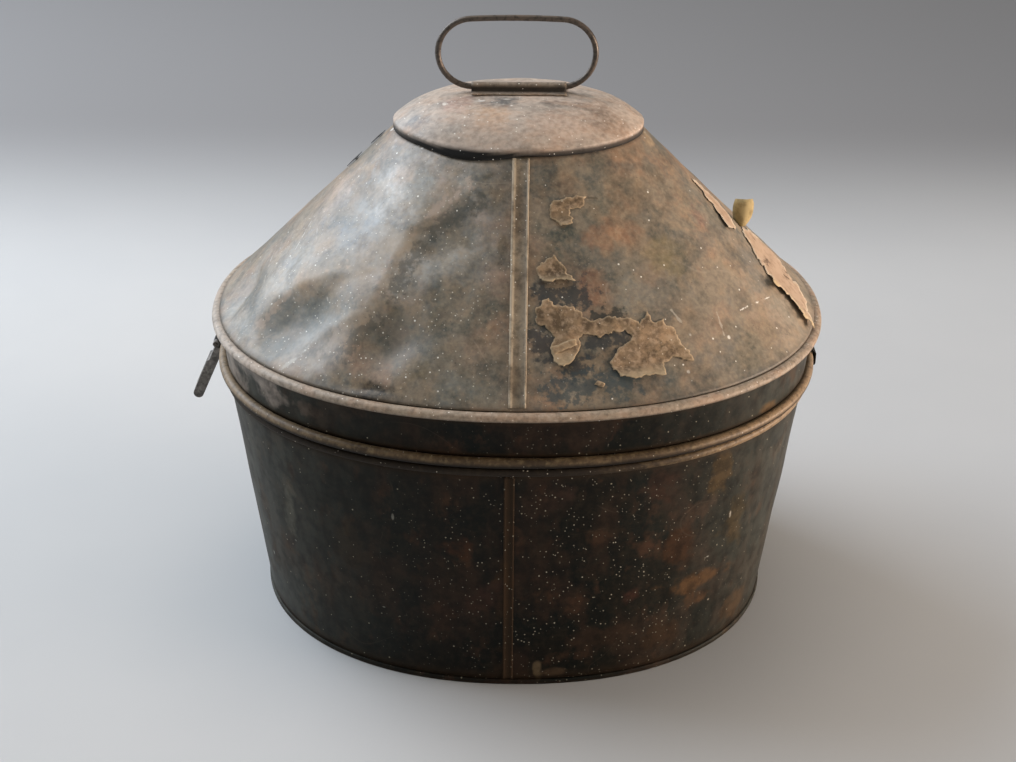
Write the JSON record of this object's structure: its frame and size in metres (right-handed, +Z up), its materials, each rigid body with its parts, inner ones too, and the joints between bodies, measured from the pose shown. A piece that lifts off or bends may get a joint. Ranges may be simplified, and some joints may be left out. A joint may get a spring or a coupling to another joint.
{
  "type": "helmet tin",
  "caption": "Oval japanned tin carrying case with a tapered tub, hinged conical lid, domed cap, wire handle and hasp; dented and worn.",
  "frame": {"origin": "on the surface that the tin stands on, under the middle of its outline with the hasp counted", "axes": "+Z up, +X from the hasp towards the hinge, -Y towards the picture's viewer"},
  "size_m": [0.38, 0.303, 0.3579],
  "materials": {
    "black": "satin, worn and rusty",
    "dusty": "matt, dusty and worn",
    "worn": "matt, worn through",
    "iron": "dark, dull"
  },
  "bodies": {
    "tub": {"tub_wall": "black", "tub_base": "black", "base_rim": "black", "stop_bead": "black", "tub_front_seam": "black", "tub_back_seam": "black", "tub_hinge_leaf": "black", "hinge_pin": "iron"},
    "lid": {"lid_skirt": "black", "wired_edge": "worn", "rim_bead": "worn", "lid_cone": "dusty", "cone_front_seam": "dusty", "cone_back_seam": "dusty", "cap": "worn", "handle_sleeve": "worn", "lid_hinge_leaf": "black", "hasp_leaf": "black", "hasp_pin": "iron"},
    "handle": {"handle": "iron"},
    "hasp": {"hasp": "worn"}
  },
  "joints": [
    {"name": "lid_hinge", "type": "hinge", "parent": "tub", "child": "lid", "pos_m": [0.1872, 0, 0.14955], "axis": [0, 1, 0], "range_deg": [0, 110]},
    {"name": "handle_swing", "type": "hinge", "parent": "lid", "child": "handle", "pos_m": [0.0082, 0, 0.3163], "axis": [1, 0, 0], "range_deg": [-97, 97]},
    {"name": "hasp_swing", "type": "hinge", "parent": "lid", "child": "hasp", "pos_m": [-0.1741, 0, 0.1545], "axis": [0, 1, 0], "range_deg": [0, 150]}
  ]
}
